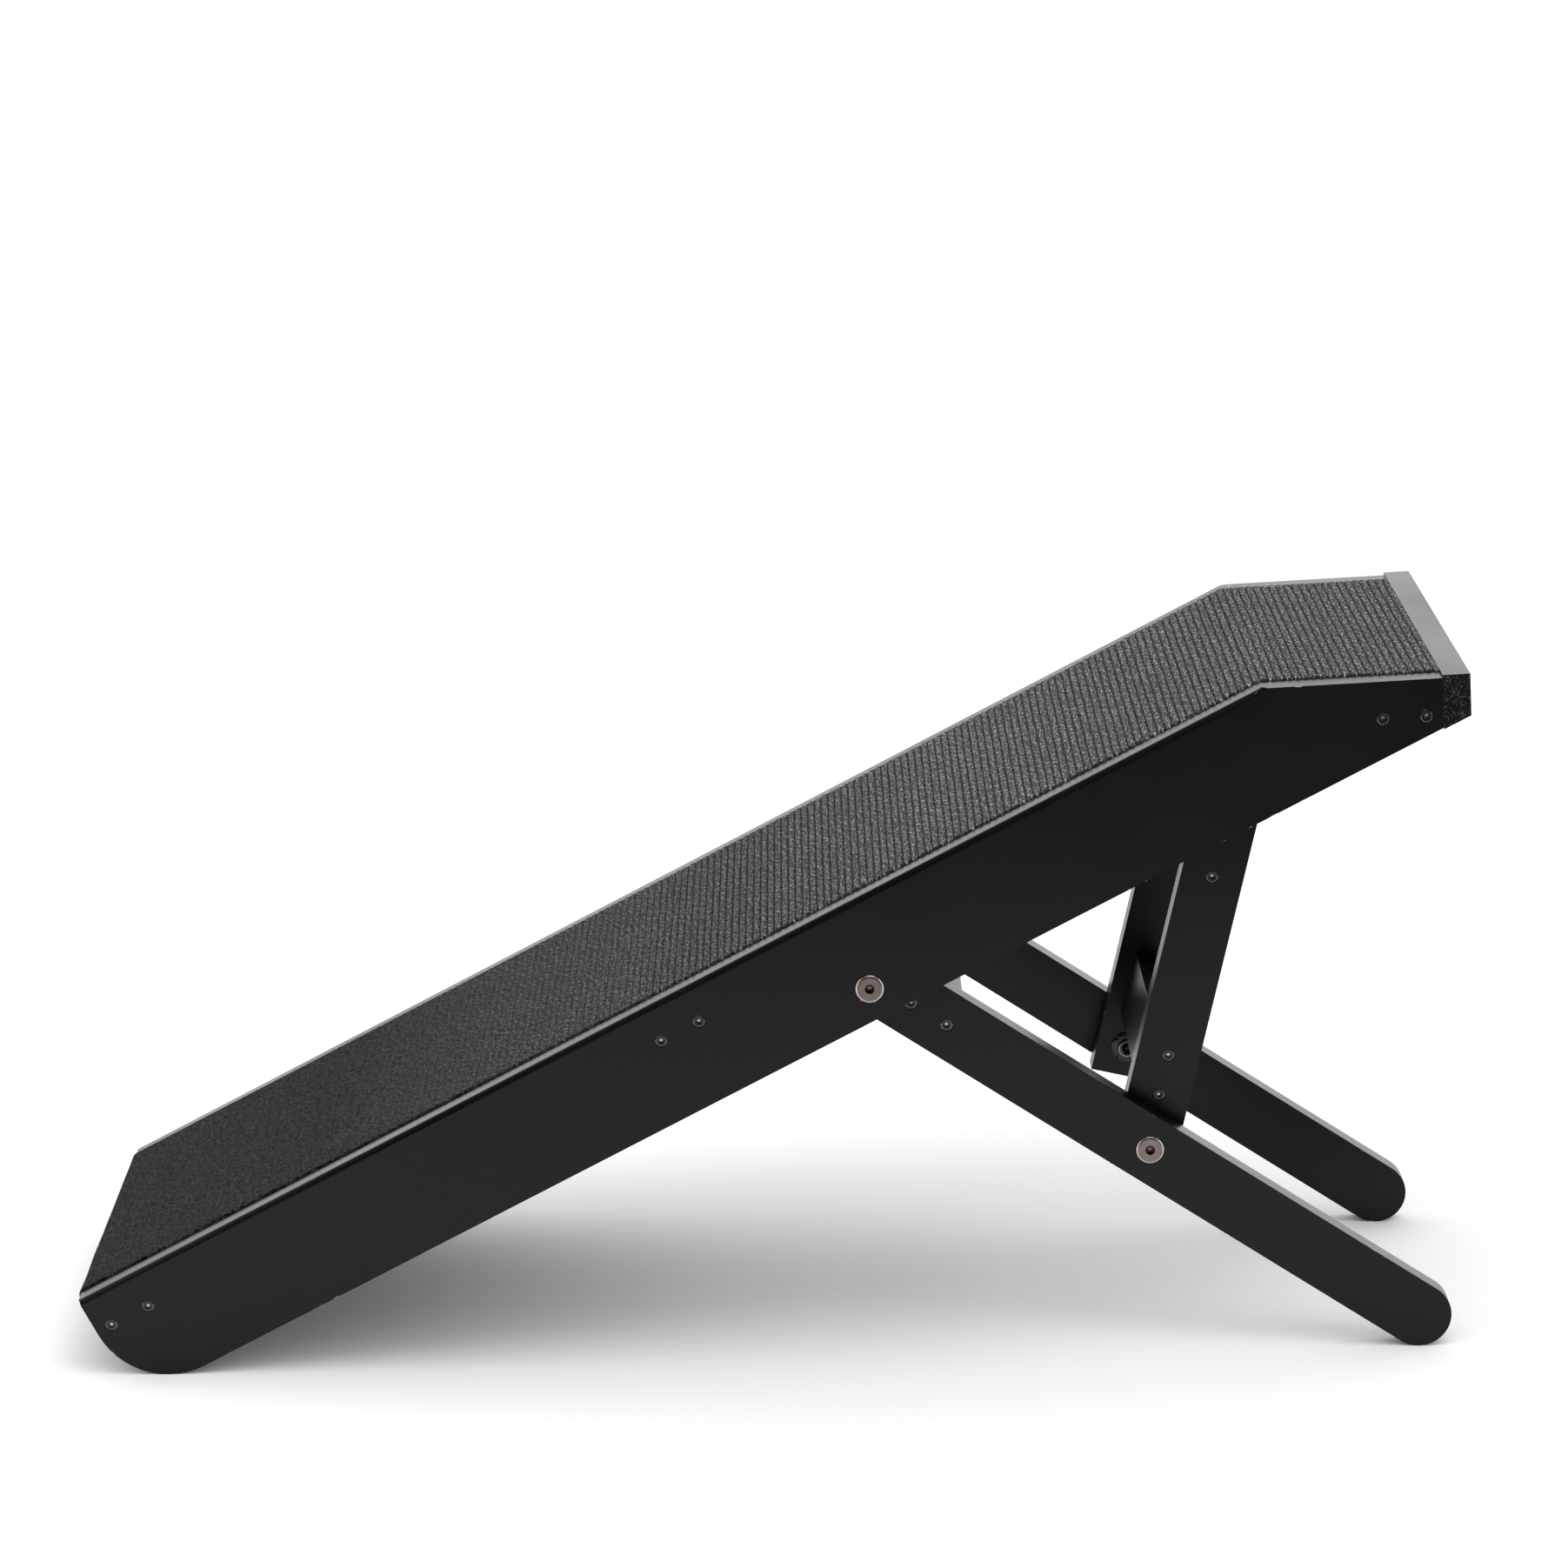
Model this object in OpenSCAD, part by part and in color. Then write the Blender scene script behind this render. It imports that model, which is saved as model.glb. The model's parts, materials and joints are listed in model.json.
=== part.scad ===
// Folding dog ramp for a sofa or bed, propped up on a pair of swinging legs.
// Two shaped side rails carry the deck, which slopes up and then levels out.
// A strut frame, hinged on the legs, props its cross rod in a notched rack under the deck.
// Units are millimetres. X runs up the ramp, Y across it, Z up, and the floor is at Z = 0.

/* [Ramp] */
// Width across the outer faces of the side rails
overall_w = 330; // [250:1:450]
// Length of the sloping stretch, along the top edge of a rail
slope_len = 892.5; // [700:0.5:1200]
// Length of the rails' level stretch, past the bend
platform_len = 118; // [118:1:200]
// Slope of the long stretch above the floor, in degrees
slope_angle = 27.6; // [24:0.1:32]
// Slope of the platform, in degrees
platform_angle = 2.7; // [0:0.1:6]

/* [Side rails] */
// Thickness of a side rail
rail_t = 19; // [15:1:24]
// Height of a side rail, square to the slope
rail_h = 80; // [78:1:100]
// Radius of the heel that stands on the floor
heel_r = 52; // [40:1:60]

/* [Nose board] */
// Thickness of the board across the upper end
nose_t = 18; // [12:1:25]
// How far the nose board reaches below the rails
nose_lip = 1; // [0:0.5:4]
// How far the nose board stands above the rails
nose_proud = 2; // [0:0.1:3]

/* [Deck and mat] */
// Thickness of the deck panels
deck_t = 15; // [9:1:15]
// Thickness of the grip mat
mat_t = 2.5; // [2:0.1:4]
// How far the mat stands above the rails
mat_proud = 1.8; // [0:0.1:3]
// How far the mat stands out past the low end of the rails
mat_end_proud = 3.5; // [1:0.1:5]
// Outer radius of the mat where it wraps over the low end
mat_nose_r = 5.5; // [5:0.5:12]

/* [Battens] */
// Width of a batten, along the ramp
batten_w = 47; // [40:1:60]
// Thickness of a batten
batten_t = 19; // [12:1:19]
// Centre of the low batten, from the low end
low_batten_pos = 25.5; // [25:0.5:60]
// Centre of the middle batten, from the low end
mid_batten_pos = 447; // [300:1:500]
// Centre of the top batten, from the bend
top_batten_pos = 92.5; // [60:0.5:94]

/* [Legs] */
// Thickness of a leg
leg_t = 18; // [12:1:24]
// Width of a leg, which is also the diameter of its foot
leg_w = 44; // [36:1:44]
// Gap between a side rail and a leg
leg_gap = 8.5; // [4:0.5:15]
// Slope of the legs below the horizontal, in degrees
leg_angle = 33.2; // [30:0.1:36]
// Leg pivot, along the rail from the low end
pivot_pos = 571.5; // [520:0.5:620]
// Leg pivot, below the top edge of the rail
pivot_drop = 59; // [58:0.5:62]
// Centre of the leg cross board, from the leg pivot
leg_board_pos = 47.5; // [45:0.5:120]

/* [Struts] */
// Thickness of a strut
strut_t = 18; // [12:1:24]
// Width of a strut
strut_w = 42; // [30:1:46]
// Gap between a leg and a strut
strut_gap = 3.5; // [2:0.5:8]
// Strut pivot, along the leg from the leg pivot
strut_pivot_pos = 225; // [200:1:250]
// Length of the strut below its pivot
strut_tail = 21.5; // [15:0.5:30]
// Centre of the lower strut board, from the strut pivot
lower_board_pos = 47; // [46:1:120]
// Centre of the upper strut board, from the strut pivot
upper_board_pos = 203; // [150:1:215]

/* [Cross boards] */
// Width of a cross board
board_w = 47; // [40:1:60]
// Thickness of a cross board
board_t = 19; // [12:1:24]

/* [Rack] */
// Diameter of the strut frame's cross rod
rod_d = 10; // [8:0.5:12]
// Gap between the rod and its notch
rod_gap = 0.4; // [0.3:0.1:0.6]
// Thickness of a rack plate
rack_t = 18; // [12:1:20]
// Height of a rack plate
rack_h = 42; // [38:1:46]
// Number of notches
notch_count = 4; // [1:1:4]
// Distance from one notch to the next
notch_pitch = 25; // [25:1:36]
// Rod's place in the uppermost notch, from the low end
notch_pos = 863; // [820:1:864]
// Rod's place in its notch, below the top edge of the rail
notch_drop = 42; // [40:0.5:46]
// Lean of the notches' upper wall off the deck's square, in degrees
notch_lean = 36; // [30:1:42]
// Lean of the notches' lower wall off the deck's square, in degrees
notch_back_lean = 18; // [10:1:20]

/* [Hardware] */
// Diameter of the pivot bolts
bolt_d = 8; // [6:0.5:10]
// Radial clearance of a pivot bolt in its bore
bolt_fit = 0.05; // [0.03:0.01:0.1]
// Diameter of a bolt head
bolt_head_d = 19; // [16:0.5:20]
// Height of a bolt head
bolt_head_h = 3.2; // [3:0.1:5]
// Width across the bolt's hex socket
bolt_key = 6; // [4:0.5:6]
// Depth of the shallow counterbore around a bolt head
bolt_sink = 2; // [1:0.1:3]
// Height of a pivot nut
nut_h = 5; // [4:0.5:8]
// Diameter of a pivot nut's barrel
nut_d = 12; // [12:0.5:14]
// Diameter of the flange under a nut
nut_flange_d = 22; // [20:0.5:24]
// Outer diameter of the spacers on the pivots
spacer_d = 20; // [16:0.5:24]
// Diameter of a wood screw's shank
screw_d = 4; // [3:0.5:5]
// Diameter of a wood screw's head
screw_head_d = 8.4; // [7:0.2:9]
// Height of a wood screw's head
screw_head_h = 2.6; // [2:0.1:4]
// Width across a wood screw's hex socket
screw_key = 3; // [2:0.5:4]
// Distance between the two screws in a board's end
screw_gap = 28.4; // [20:0.2:30]
// Length of a wood screw, under its head
screw_len = 38; // [25:1:45]
// Length of a rack screw, under its head
rack_screw_len = 28; // [22:1:32]

/* [Hidden] */
$fn = 64;

LEFT = 1;
RIGHT = -1;
paint = "#262625";
mat_colour = "#4b4b48";
bronze = "#8c8078";
black_steel = "#1c1c1c";
zinc = "#b9b9b6";
nylon = "#303030";
// overcut of a hole at the face it opens through
cut = 1;
// clearance around screws, and between moving faces that nearly touch
screw_fit = 0.1;
face_gap = 0.2;
// how far a notch's round seat bites into its walls
seat_undercut = 0.15;
// edge taken off a bolt head, and how far a bolt stops short of its nut's end
bolt_edge = 0.8;
bolt_short = 1;
nut_flange_h = 1.5;
// slots in a nut's flange, for the tool that turns it
nut_slots = 4;
nut_slot_w = 2.4;
nut_slot_depth = 2.5;

// lines and places in the side view, worked out from the sizes above
bend_angle = slope_angle - platform_angle;
half_w = overall_w / 2;
rail_in = half_w - rail_t;
leg_out = rail_in - leg_gap;
leg_in = leg_out - leg_t;
strut_out = leg_in - strut_gap;
strut_in = strut_out - strut_t;
rack_in = rail_in - rack_t;
deck_top = mat_proud - mat_t;
deck_low = deck_top - deck_t;
batten_mid = deck_low - batten_t / 2;
rack_first = notch_pos - (notch_count - 1) * notch_pitch;
rack_start = rack_first - 25;
rack_end = notch_pos + 22;
nose_end = platform_len + nose_t;
foot_r = leg_w / 2;
rod_reach = rack_in + 12;
tip_z = heel_r - heel_r * sin(slope_angle) - (heel_r - rail_h) * cos(slope_angle);
mat_nose = [mat_nose_r - mat_end_proud, mat_proud - mat_nose_r];
x_low = mat_nose.x * cos(slope_angle) - mat_nose.y * sin(slope_angle) - mat_nose_r;
x_high = side_x(level(nose_end, rail_drop(nose_end, rail_h + nose_lip)));
x_mid = (x_low + x_high) / 2;
pivot = side(pivot_pos, -pivot_drop);
leg_len = (pivot.y - foot_r) / sin(leg_angle);
strut_pivot = pivot + strut_pivot_pos * [cos(leg_angle), -sin(leg_angle)];
rod_place = side(notch_pos, -notch_drop);
rod_from_pivot = rod_place - strut_pivot;
strut_len = norm(rod_from_pivot);
strut_angle = atan2(rod_from_pivot.y, rod_from_pivot.x);

// a point on or above the platform, in the slope's own side view
function level(along, up) = [
    slope_len + along * cos(bend_angle) + up * sin(bend_angle),
    up * cos(bend_angle) - along * sin(bend_angle)
];
// height over the platform of a line square under the slope by drop
function rail_drop(along, drop) = (along * sin(bend_angle) - drop) / cos(bend_angle);
// where a line parallel to both rail tops turns at the bend, seen from the slope and from the platform
function turn(up) = [slope_len + up * tan(bend_angle / 2), up];
function mitre(up) = [-up * tan(bend_angle / 2), up];
function side_x(p) = p.x * cos(slope_angle) - p.y * sin(slope_angle);
// a point of the slope's side view, standing on the floor and centred
function side(along, up) = [
    side_x([along, up]) - x_mid,
    tip_z + along * sin(slope_angle) + up * cos(slope_angle)
];
// points along an arc, for outlines
function arc(centre, r, from, to, steps = 12) = [
    for (i = [0:steps])
        centre + r * [cos(from + (to - from) * i / steps), sin(from + (to - from) * i / steps)]
];

// frames: the slope, the platform, the legs and the struts
module on_slope() {
    translate([-x_mid, 0, tip_z])
        rotate([0, -slope_angle, 0])
            children();
}
module on_platform() {
    on_slope()
        translate([slope_len, 0, 0])
            rotate([0, bend_angle, 0])
                children();
}
module on_leg() {
    translate([pivot.x, 0, pivot.y])
        rotate([0, leg_angle, 0])
            children();
}
module on_strut() {
    translate([strut_pivot.x, 0, strut_pivot.y])
        rotate([0, -strut_angle, 0])
            children();
}

// stands a side-view outline up and gives it its thickness, from y = from to y = to
module plate(from, to) {
    translate([0, to, 0])
        rotate([90, 0, 0])
            linear_extrude(to - from)
                children();
}
// the same on one side of the ramp, between two distances from its middle
module side_plate(s, inner, outer) {
    plate(s > 0 ? inner : -outer, s > 0 ? outer : -inner)
        children();
}
// puts something made along Z, facing up, on a face that looks outwards
module facing_out(s, x, face, z) {
    translate([x, s * face, z])
        rotate([-s * 90, 0, 0])
            children();
}
module facing_in(s, x, face, z) {
    facing_out(-s, x, -face, z)
        children();
}

// fasteners, with the face they sit in at z = 0
module hex(across, h) {
    cylinder(h = h, d = across / cos(30), $fn = 6);
}
module wood_screw(length) {
    difference() {
        union() {
            translate([0, 0, -screw_head_h])
                cylinder(h = screw_head_h - face_gap, d = screw_head_d);
            translate([0, 0, -screw_head_h - length])
                cylinder(h = length, d = screw_d);
        }
        translate([0, 0, -screw_head_h * 0.8])
            hex(screw_key, screw_head_h);
    }
}
module wood_screw_hole(length) {
    translate([0, 0, -screw_head_h])
        cylinder(h = screw_head_h + cut, d = screw_head_d + 2 * screw_fit);
    translate([0, 0, -screw_head_h - length - cut])
        cylinder(h = length + 2 * cut, d = screw_d + 2 * screw_fit);
}
module screw_pair() {
    for (shift = [-1, 1])
        translate([shift * screw_gap / 2, 0, 0])
            children();
}
// pair of screws through each side board into the end of a cross piece
module batten_screws(pos) {
    end_screws(half_w, pos, batten_mid);
}
module end_screws(face, pos, z) {
    color(black_steel)
        for (s = [LEFT, RIGHT])
            translate([pos, 0, 0])
                facing_out(s, 0, face, z)
                    screw_pair()
                        wood_screw(screw_len);
}
module end_screw_holes(face, pos, z) {
    for (s = [LEFT, RIGHT])
        translate([pos, 0, 0])
            facing_out(s, 0, face, z)
                screw_pair()
                    wood_screw_hole(screw_len);
}
module pivot_bolt(length) {
    color(bronze)
        difference() {
            union() {
                translate([0, 0, -bolt_sink])
                    cylinder(h = bolt_head_h - bolt_edge, d = bolt_head_d);
                translate([0, 0, bolt_head_h - bolt_sink - bolt_edge])
                    cylinder(h = bolt_edge, d1 = bolt_head_d, d2 = bolt_head_d - 2 * bolt_edge);
                translate([0, 0, -bolt_sink - length])
                    cylinder(h = length, d = bolt_d);
            }
            translate([0, 0, bolt_head_h - bolt_sink - bolt_head_h * 0.8])
                hex(bolt_key, bolt_head_h);
        }
}
module bolt_sink_hole() {
    translate([0, 0, -bolt_sink])
        cylinder(h = bolt_sink + cut, d = bolt_head_d + 4 * screw_fit);
}
module bolt_bore(length) {
    translate([0, 0, -length - cut])
        cylinder(h = length + 2 * cut, d = bolt_d + 2 * bolt_fit);
}
module flange_nut() {
    color(black_steel)
        difference() {
            union() {
                cylinder(h = nut_flange_h, d = nut_flange_d);
                cylinder(h = nut_h, d = nut_d);
            }
            translate([0, 0, nut_h])
                bolt_bore(nut_h);
            for (i = [0:nut_slots - 1])
                rotate([0, 0, (i + 0.5) * 360 / nut_slots])
                    translate([nut_flange_d / 2 - nut_slot_depth, -nut_slot_w / 2, -cut])
                        cube([nut_slot_depth + cut, nut_slot_w, nut_flange_h + 2 * cut]);
        }
}
module spacer(length) {
    color(nylon)
        difference() {
            cylinder(h = length, d = spacer_d);
            translate([0, 0, length])
                bolt_bore(length);
        }
}

// side rails: one outline, with a round heel and a bend at the platform
module rail_outline() {
    difference() {
        polygon([
            [0, 0],
            [slope_len, 0],
            level(platform_len, 0),
            level(platform_len, rail_drop(platform_len, rail_h)),
            [0, -rail_h]
        ]);
        difference() {
            translate([-cut, -rail_h - cut])
                square(heel_r + cut);
            translate([heel_r, heel_r - rail_h])
                circle(heel_r);
        }
    }
}
module side_rail(s) {
    color(paint)
        difference() {
            on_slope()
                side_plate(s, rail_in, half_w)
                    rail_outline();
            on_slope() {
                end_screw_holes(half_w, low_batten_pos, batten_mid);
                end_screw_holes(half_w, mid_batten_pos, batten_mid);
                facing_out(s, pivot_pos, half_w, -pivot_drop) {
                    bolt_sink_hole();
                    bolt_bore(rail_t);
                }
                rack_screw_holes(s);
            }
            on_platform() {
                end_screw_holes(half_w, top_batten_pos, batten_mid);
                nose_screw_places(s)
                    wood_screw_hole(screw_len);
            }
        }
}

// deck panels between the rails, mitred at the bend, with a round low edge
module slope_deck() {
    deck_r = mat_nose_r - mat_t;
    low_x = mat_t - mat_end_proud;
    color(paint)
        on_slope()
            plate(-rail_in, rail_in)
                polygon(concat(
                    [[low_x, deck_low]],
                    arc(mat_nose, deck_r, 180, 90),
                    [turn(deck_top), turn(deck_low)]
                ));
}
module platform_deck() {
    color(paint)
        on_platform()
            plate(-rail_in, rail_in)
                polygon([
                    mitre(deck_top),
                    [platform_len, deck_top],
                    [platform_len, deck_low],
                    mitre(deck_low)
                ]);
}

// grip mat: one sheet over the platform, the slope and round the low edge
module grip_mat() {
    color(mat_colour)
        on_slope()
            plate(-rail_in, rail_in)
                polygon(concat(
                    [[-mat_end_proud, deck_low]],
                    arc(mat_nose, mat_nose_r, 180, 90),
                    [turn(mat_proud), level(platform_len, mat_proud)],
                    [level(platform_len, deck_top), turn(deck_top)],
                    arc(mat_nose, mat_nose_r - mat_t, 90, 180),
                    [[mat_t - mat_end_proud, deck_low]]
                ));
}

// board across the upper end, square to the platform, cut in line with the rails below
module nose_board() {
    color(paint)
        difference() {
            on_platform()
                plate(-half_w, half_w)
                    polygon([
                        [platform_len, nose_proud],
                        [nose_end, nose_proud],
                        [nose_end, rail_drop(nose_end, rail_h + nose_lip)],
                        [platform_len, rail_drop(platform_len, rail_h + nose_lip)]
                    ]);
            on_platform()
                for (s = [LEFT, RIGHT])
                    nose_screw_places(s)
                        wood_screw_hole(screw_len);
        }
}
module nose_screw_places(s) {
    for (down = [7, 17])
        translate([nose_end, s * (half_w - rail_t / 2), -down])
            rotate([0, 90, 0])
                children();
}
module nose_board_screws() {
    color(black_steel)
        on_platform()
            for (s = [LEFT, RIGHT])
                nose_screw_places(s)
                    wood_screw(screw_len);
}

// battens under the deck, screwed through the rails
module batten(pos) {
    color(paint)
        difference() {
            translate([pos - batten_w / 2, -rail_in, batten_mid - batten_t / 2])
                cube([batten_w, 2 * rail_in, batten_t]);
            end_screw_holes(half_w, pos, batten_mid);
        }
}

// notched rack plates on the inner faces of the rails
module notch() {
    depth = rack_h - (notch_drop + deck_low) + cut;
    r = rod_d / 2 + rod_gap;
    wall_r = r - seat_undercut;
    up_edge = wall_r * [cos(notch_lean), sin(notch_lean)];
    back_edge = wall_r * [-cos(notch_back_lean), -sin(notch_back_lean)];
    circle(r);
    polygon([
        up_edge,
        [up_edge.x + (depth + up_edge.y) * tan(notch_lean), -depth],
        [back_edge.x + (depth + back_edge.y) * tan(notch_back_lean), -depth],
        back_edge
    ]);
}
module notch_rack(s) {
    color(paint)
        on_slope()
            difference() {
                side_plate(s, rack_in, rail_in)
                    difference() {
                        translate([rack_start, deck_low - rack_h])
                            square([rack_end - rack_start, rack_h]);
                        for (i = [0:notch_count - 1])
                            translate([notch_pos - i * notch_pitch, -notch_drop])
                                notch();
                    }
                rack_screw_holes(s);
            }
}
module rack_screw_places(s) {
    for (x = [rack_start + 9, rack_end - 9])
        facing_in(s, x, rack_in, deck_low - 8)
            children();
}
module rack_screw_holes(s) {
    rack_screw_places(s)
        wood_screw_hole(rack_screw_len);
}
module rack_screws() {
    color(black_steel)
        on_slope()
            for (s = [LEFT, RIGHT])
                rack_screw_places(s)
                    wood_screw(rack_screw_len);
}

// leg pivots: bolt through the rail, spacer, leg and nut
module main_bolt(s) {
    on_slope()
        facing_out(s, pivot_pos, half_w, -pivot_drop)
            pivot_bolt(half_w - bolt_sink - leg_in + face_gap + nut_h - bolt_short);
}
module main_spacer(s) {
    on_slope()
        facing_in(s, pivot_pos, rail_in, -pivot_drop)
            spacer(leg_gap - face_gap);
}
module main_nut(s) {
    on_slope()
        facing_in(s, pivot_pos, leg_in - face_gap, -pivot_drop)
            flange_nut();
}

// legs with round ends, and the board between them
module leg_outline() {
    translate([0, -foot_r])
        square([leg_len, leg_w]);
    circle(foot_r);
    translate([leg_len, 0])
        circle(foot_r);
}
module leg(s) {
    color(paint)
        on_leg()
            difference() {
                side_plate(s, leg_in, leg_out)
                    leg_outline();
                facing_out(s, 0, leg_out, 0)
                    bolt_bore(leg_t);
                facing_out(s, strut_pivot_pos, leg_out, 0) {
                    bolt_sink_hole();
                    bolt_bore(leg_t);
                }
                end_screw_holes(leg_out, leg_board_pos, 0);
            }
}
module cross_board(pos, reach, face) {
    color(paint)
        difference() {
            translate([pos - board_w / 2, -reach, -board_t / 2])
                cube([board_w, 2 * reach, board_t]);
            end_screw_holes(face, pos, 0);
        }
}
module leg_cross_board() {
    on_leg()
        cross_board(leg_board_pos, leg_in, leg_out);
}
module leg_board_screws() {
    on_leg()
        end_screws(leg_out, leg_board_pos, 0);
}

// strut pivots: bolt through the leg, spacer, strut and nut
module strut_bolt(s) {
    on_leg()
        facing_out(s, strut_pivot_pos, leg_out, 0)
            pivot_bolt(leg_out - bolt_sink - strut_in + face_gap + nut_h - bolt_short);
}
module strut_spacer(s) {
    on_leg()
        facing_in(s, strut_pivot_pos, leg_in, 0)
            spacer(strut_gap - face_gap);
}
module strut_nut(s) {
    on_leg()
        facing_in(s, strut_pivot_pos, strut_in - face_gap, 0)
            flange_nut();
}

// struts: square below the pivot, round at the rod
module strut_outline() {
    translate([-strut_tail, -strut_w / 2])
        square([strut_tail + strut_len, strut_w]);
    translate([strut_len, 0])
        circle(strut_w / 2);
}
module strut(s) {
    color(paint)
        on_strut()
            difference() {
                side_plate(s, strut_in, strut_out)
                    strut_outline();
                facing_out(s, 0, strut_out, 0)
                    bolt_bore(strut_t);
                translate([strut_len, 0, 0])
                    rotate([90, 0, 0])
                        cylinder(h = 2 * half_w, d = rod_d, center = true);
                end_screw_holes(strut_out, lower_board_pos, 0);
                end_screw_holes(strut_out, upper_board_pos, 0);
            }
}
module strut_board(pos) {
    on_strut()
        cross_board(pos, strut_in, strut_out);
}
module strut_screws(pos) {
    on_strut()
        end_screws(strut_out, pos, 0);
}
module strut_rod() {
    color(zinc)
        on_strut()
            translate([strut_len, 0, 0])
                rotate([90, 0, 0])
                    cylinder(h = 2 * rod_reach, d = rod_d, center = true);
}

side_rail(LEFT);  // side_rail_left
side_rail(RIGHT);  // side_rail_right
slope_deck();
platform_deck();
nose_board();
on_slope() batten(low_batten_pos);  // low_batten
on_slope() batten(mid_batten_pos);  // middle_batten
on_platform() batten(top_batten_pos);  // top_batten
grip_mat();
notch_rack(LEFT);  // notch_rack_left
notch_rack(RIGHT);  // notch_rack_right
on_slope() batten_screws(low_batten_pos);  // low_batten_screws
on_slope() batten_screws(mid_batten_pos);  // middle_batten_screws
on_platform() batten_screws(top_batten_pos);  // top_batten_screws
nose_board_screws();
rack_screws();
main_bolt(LEFT);  // main_bolt_left
main_bolt(RIGHT);  // main_bolt_right
main_spacer(LEFT);  // main_spacer_left
main_spacer(RIGHT);  // main_spacer_right
main_nut(LEFT);  // main_nut_left
main_nut(RIGHT);  // main_nut_right
leg(LEFT);  // leg_left
leg(RIGHT);  // leg_right
leg_cross_board();
leg_board_screws();
strut_bolt(LEFT);  // strut_bolt_left
strut_bolt(RIGHT);  // strut_bolt_right
strut_spacer(LEFT);  // strut_spacer_left
strut_spacer(RIGHT);  // strut_spacer_right
strut_nut(LEFT);  // strut_nut_left
strut_nut(RIGHT);  // strut_nut_right
strut(LEFT);  // strut_left
strut(RIGHT);  // strut_right
strut_board(lower_board_pos);  // strut_lower_board
strut_board(upper_board_pos);  // strut_upper_board
strut_screws(lower_board_pos);  // strut_lower_screws
strut_screws(upper_board_pos);  // strut_upper_screws
strut_rod();
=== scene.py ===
"""Looks, light and camera for the folding dog ramp. Everything is in metres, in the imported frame."""
import json
import math

import bmesh
import bpy
import numpy as np
from mathutils import Matrix, Vector, noise

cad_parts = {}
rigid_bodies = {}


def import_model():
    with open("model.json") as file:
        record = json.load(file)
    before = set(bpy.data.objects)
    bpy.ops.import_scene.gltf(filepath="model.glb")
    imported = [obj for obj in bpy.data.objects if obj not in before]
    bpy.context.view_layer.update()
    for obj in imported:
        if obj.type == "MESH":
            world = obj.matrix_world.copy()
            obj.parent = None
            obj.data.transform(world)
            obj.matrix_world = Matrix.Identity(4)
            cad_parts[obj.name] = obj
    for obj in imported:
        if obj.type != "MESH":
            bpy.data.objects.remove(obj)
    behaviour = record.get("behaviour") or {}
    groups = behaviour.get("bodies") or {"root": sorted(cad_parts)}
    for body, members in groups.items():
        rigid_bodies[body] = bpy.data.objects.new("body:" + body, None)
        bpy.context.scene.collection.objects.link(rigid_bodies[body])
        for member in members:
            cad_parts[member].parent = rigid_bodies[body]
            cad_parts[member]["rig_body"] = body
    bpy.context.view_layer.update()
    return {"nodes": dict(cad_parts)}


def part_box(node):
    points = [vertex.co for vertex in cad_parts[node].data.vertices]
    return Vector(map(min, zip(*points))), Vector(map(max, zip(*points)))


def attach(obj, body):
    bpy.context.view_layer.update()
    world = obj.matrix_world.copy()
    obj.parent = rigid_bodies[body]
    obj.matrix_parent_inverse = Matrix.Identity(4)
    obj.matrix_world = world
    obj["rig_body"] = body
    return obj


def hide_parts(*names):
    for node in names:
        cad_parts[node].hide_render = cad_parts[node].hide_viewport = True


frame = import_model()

nodes = frame["nodes"]
scene = bpy.context.scene
MM = 0.001

# how far the paint texture's coordinates are turned about Y on each wooden piece, in degrees,
# or ACROSS for a texture along Y. Each number is the board's own slope below the X axis, so
# the texture's long axis comes out as far above X as the board lies below it, and not along it.
SLOPE_GRAIN = -27.6
PLATFORM_GRAIN = -2.7
LEG_GRAIN = 33.2
STRUT_GRAIN = -77.2
ACROSS = "across"
WOOD = {
    "side_rail_left": SLOPE_GRAIN,
    "side_rail_right": SLOPE_GRAIN,
    "slope_deck": SLOPE_GRAIN,
    "platform_deck": PLATFORM_GRAIN,
    "nose_board": ACROSS,
    "low_batten": ACROSS,
    "middle_batten": ACROSS,
    "top_batten": ACROSS,
    "notch_rack_left": SLOPE_GRAIN,
    "notch_rack_right": SLOPE_GRAIN,
    "leg_left": LEG_GRAIN,
    "leg_right": LEG_GRAIN,
    "leg_cross_board": ACROSS,
    "strut_left": STRUT_GRAIN,
    "strut_right": STRUT_GRAIN,
    "strut_lower_board": ACROSS,
    "strut_upper_board": ACROSS,
}

SAME_POINT = 1e-6        # points closer than this are one point
WEAR_AND_SHADE = "bare"            # the mesh attribute for how worn a metal surface is, and for the painted shade in a bolt's socket
# its values on the black screws and nuts, and on the bronze bolts, whose lowest paints the socket dark
# as shade
BLACKENED, RUBBED = 0.0, 1.0
SOCKET_SHADED, PLATED, POLISHED = 0.0, 1.0, 2.0


# ---------------------------------------------------------------- materials

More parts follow.
